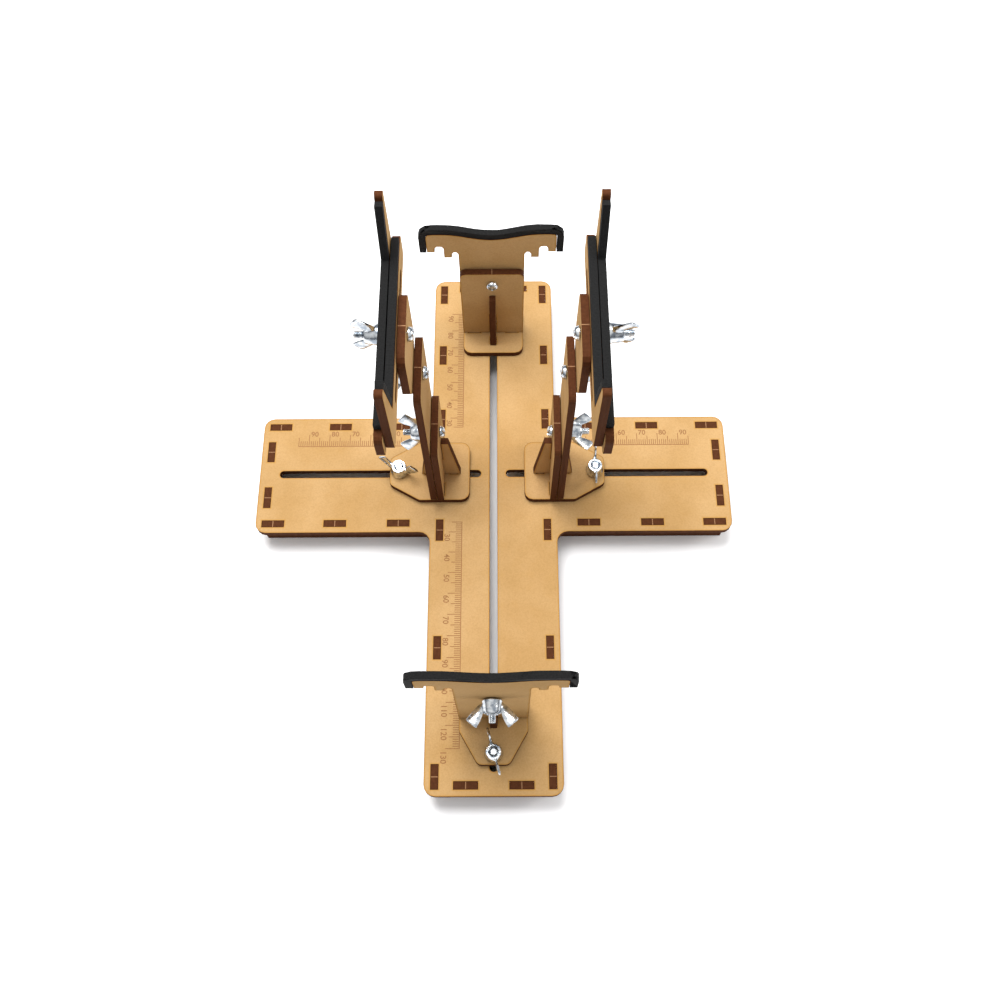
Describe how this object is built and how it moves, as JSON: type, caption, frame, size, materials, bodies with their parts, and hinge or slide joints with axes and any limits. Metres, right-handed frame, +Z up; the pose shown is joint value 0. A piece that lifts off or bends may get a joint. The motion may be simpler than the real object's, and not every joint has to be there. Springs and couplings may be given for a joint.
{
  "type": "adjustable model holding stand",
  "caption": "Cross-shaped laser-cut board stand with slotted arms, sliding foam-edged cradles, and tilting L-shaped jaws clamped by screws and wing nuts.",
  "frame": {"origin": "on the table under the middle of the base plate's outline", "axes": "+Z up, +Y along the long arms towards the back stand, +X towards the right stand"},
  "size_m": [0.225, 0.26, 0.175],
  "materials": {
    "board": "matt laser-cut fibreboard with scorched brown edges",
    "foam": "matt black foam cord",
    "zinc": "bright zinc plate"
  },
  "bodies": {
    "base": {"base_plate": "board", "front_skirt": "board", "back_skirt": "board", "left_skirt": "board", "right_skirt": "board"},
    "front_carriage": {"front_foot_plate": "board", "front_upright": "board", "front_gusset": "board", "front_cradle_screw": "zinc", "front_foot_screw": "zinc"},
    "front_cradle": {"front_cradle": "board", "front_cradle_foam": "foam"},
    "front_cradle_nut": {"front_cradle_wing_nut": "zinc"},
    "front_foot_nut": {"front_foot_wing_nut": "zinc"},
    "back_carriage": {"back_foot_plate": "board", "back_upright": "board", "back_gusset": "board", "back_cradle_screw": "zinc", "back_foot_screw": "zinc"},
    "back_cradle": {"back_cradle": "board", "back_cradle_foam": "foam"},
    "back_cradle_nut": {"back_cradle_wing_nut": "zinc"},
    "back_foot_nut": {"back_foot_wing_nut": "zinc"},
    "left_carriage": {"left_foot_plate": "board", "left_upright": "board", "left_gusset": "board", "left_riser_screw": "zinc", "left_foot_screw": "zinc"},
    "left_riser": {"left_riser": "board", "left_link_screw": "zinc"},
    "left_link": {"left_link": "board"},
    "left_jaw_clamp": {"left_jaw_screw": "zinc"},
    "left_inner_jaw": {"left_inner_jaw": "board", "left_inner_foam": "foam"},
    "left_outer_jaw": {"left_outer_jaw": "board", "left_outer_foam": "foam"},
    "left_riser_nut": {"left_riser_wing_nut": "zinc"},
    "left_link_nut": {"left_link_wing_nut": "zinc"},
    "left_jaw_nut": {"left_jaw_wing_nut": "zinc"},
    "left_foot_nut": {"left_foot_wing_nut": "zinc"},
    "right_carriage": {"right_foot_plate": "board", "right_upright": "board", "right_gusset": "board", "right_riser_screw": "zinc", "right_foot_screw": "zinc"},
    "right_riser": {"right_riser": "board", "right_link_screw": "zinc"},
    "right_link": {"right_link": "board"},
    "right_jaw_clamp": {"right_jaw_screw": "zinc"},
    "right_inner_jaw": {"right_inner_jaw": "board", "right_inner_foam": "foam"},
    "right_outer_jaw": {"right_outer_jaw": "board", "right_outer_foam": "foam"},
    "right_riser_nut": {"right_riser_wing_nut": "zinc"},
    "right_link_nut": {"right_link_wing_nut": "zinc"},
    "right_jaw_nut": {"right_jaw_wing_nut": "zinc"},
    "right_foot_nut": {"right_foot_wing_nut": "zinc"}
  },
  "joints": [
    {"name": "front_carriage_slide", "type": "slide", "parent": "base", "child": "front_carriage", "axis": [0, -1, 0], "range_m": [-0.035, 0.005]},
    {"name": "front_cradle_lift", "type": "slide", "parent": "front_carriage", "child": "front_cradle", "axis": [0, 0, 1], "range_m": [0, 0.034]},
    {"name": "front_cradle_nut_turn", "type": "hinge", "parent": "front_carriage", "child": "front_cradle_nut", "pos_m": [0, -0.0978, 0.06], "axis": [0, -1, 0], "continuous": true},
    {"name": "front_foot_nut_turn", "type": "hinge", "parent": "front_carriage", "child": "front_foot_nut", "pos_m": [0, -0.1127, 0.0184], "axis": [0, 0, 1], "continuous": true},
    {"name": "back_carriage_slide", "type": "slide", "parent": "base", "child": "back_carriage", "axis": [0, 1, 0], "range_m": [-0.02, 0]},
    {"name": "back_cradle_lift", "type": "slide", "parent": "back_carriage", "child": "back_cradle", "axis": [0, 0, 1], "range_m": [0, 0.034]},
    {"name": "back_cradle_nut_turn", "type": "hinge", "parent": "back_carriage", "child": "back_cradle_nut", "pos_m": [0, 0.1036, 0.06], "axis": [0, 1, 0], "continuous": true},
    {"name": "back_foot_nut_turn", "type": "hinge", "parent": "back_carriage", "child": "back_foot_nut", "pos_m": [0, 0.1185, 0.0184], "axis": [0, 0, 1], "continuous": true},
    {"name": "left_carriage_slide", "type": "slide", "parent": "base", "child": "left_carriage", "axis": [-1, 0, 0], "range_m": [-0.01, 0.055]},
    {"name": "left_riser_lift", "type": "slide", "parent": "left_carriage", "child": "left_riser", "axis": [0, 0, 1], "range_m": [0, 0.034]},
    {"name": "left_link_pivot", "type": "hinge", "parent": "left_riser", "child": "left_link", "pos_m": [-0.0299, 0.02, 0.112], "axis": [1, 0, 0], "range_deg": [-25, 25]},
    {"name": "left_jaw_tilt", "type": "hinge", "parent": "left_link", "child": "left_jaw_clamp", "pos_m": [-0.0299, 0.02, 0.1405], "axis": [1, 0, 0], "range_deg": [-15, 15]},
    {"name": "left_inner_jaw_slide", "type": "slide", "parent": "left_jaw_clamp", "child": "left_inner_jaw", "axis": [0, 1, 0], "range_m": [-0.015, 0.015]},
    {"name": "left_outer_jaw_slide", "type": "slide", "parent": "left_jaw_clamp", "child": "left_outer_jaw", "axis": [0, 1, 0], "range_m": [-0.015, 0.015]},
    {"name": "left_riser_nut_turn", "type": "hinge", "parent": "left_carriage", "child": "left_riser_nut", "pos_m": [-0.0299, 0.02, 0.06], "axis": [-1, 0, 0], "continuous": true},
    {"name": "left_link_nut_turn", "type": "hinge", "parent": "left_riser", "child": "left_link_nut", "pos_m": [-0.0332, 0.02, 0.112], "axis": [-1, 0, 0], "continuous": true},
    {"name": "left_jaw_nut_turn", "type": "hinge", "parent": "left_jaw_clamp", "child": "left_jaw_nut", "pos_m": [-0.0398, 0.02, 0.1405], "axis": [-1, 0, 0], "continuous": true},
    {"name": "left_foot_nut_turn", "type": "hinge", "parent": "left_carriage", "child": "left_foot_nut", "pos_m": [-0.0448, 0.02, 0.0184], "axis": [0, 0, 1], "continuous": true},
    {"name": "right_carriage_slide", "type": "slide", "parent": "base", "child": "right_carriage", "axis": [1, 0, 0], "range_m": [-0.012, 0.052]},
    {"name": "right_riser_lift", "type": "slide", "parent": "right_carriage", "child": "right_riser", "axis": [0, 0, 1], "range_m": [0, 0.034]},
    {"name": "right_link_pivot", "type": "hinge", "parent": "right_riser", "child": "right_link", "pos_m": [0.0334, 0.02, 0.112], "axis": [1, 0, 0], "range_deg": [-25, 25]},
    {"name": "right_jaw_tilt", "type": "hinge", "parent": "right_link", "child": "right_jaw_clamp", "pos_m": [0.0334, 0.02, 0.1405], "axis": [1, 0, 0], "range_deg": [-15, 15]},
    {"name": "right_inner_jaw_slide", "type": "slide", "parent": "right_jaw_clamp", "child": "right_inner_jaw", "axis": [0, 1, 0], "range_m": [-0.015, 0.015]},
    {"name": "right_outer_jaw_slide", "type": "slide", "parent": "right_jaw_clamp", "child": "right_outer_jaw", "axis": [0, 1, 0], "range_m": [-0.015, 0.015]},
    {"name": "right_riser_nut_turn", "type": "hinge", "parent": "right_carriage", "child": "right_riser_nut", "pos_m": [0.0334, 0.02, 0.06], "axis": [1, 0, 0], "continuous": true},
    {"name": "right_link_nut_turn", "type": "hinge", "parent": "right_riser", "child": "right_link_nut", "pos_m": [0.0367, 0.02, 0.112], "axis": [1, 0, 0], "continuous": true},
    {"name": "right_jaw_nut_turn", "type": "hinge", "parent": "right_jaw_clamp", "child": "right_jaw_nut", "pos_m": [0.0433, 0.02, 0.1405], "axis": [1, 0, 0], "continuous": true},
    {"name": "right_foot_nut_turn", "type": "hinge", "parent": "right_carriage", "child": "right_foot_nut", "pos_m": [0.0483, 0.02, 0.0184], "axis": [0, 0, 1], "continuous": true}
  ]
}
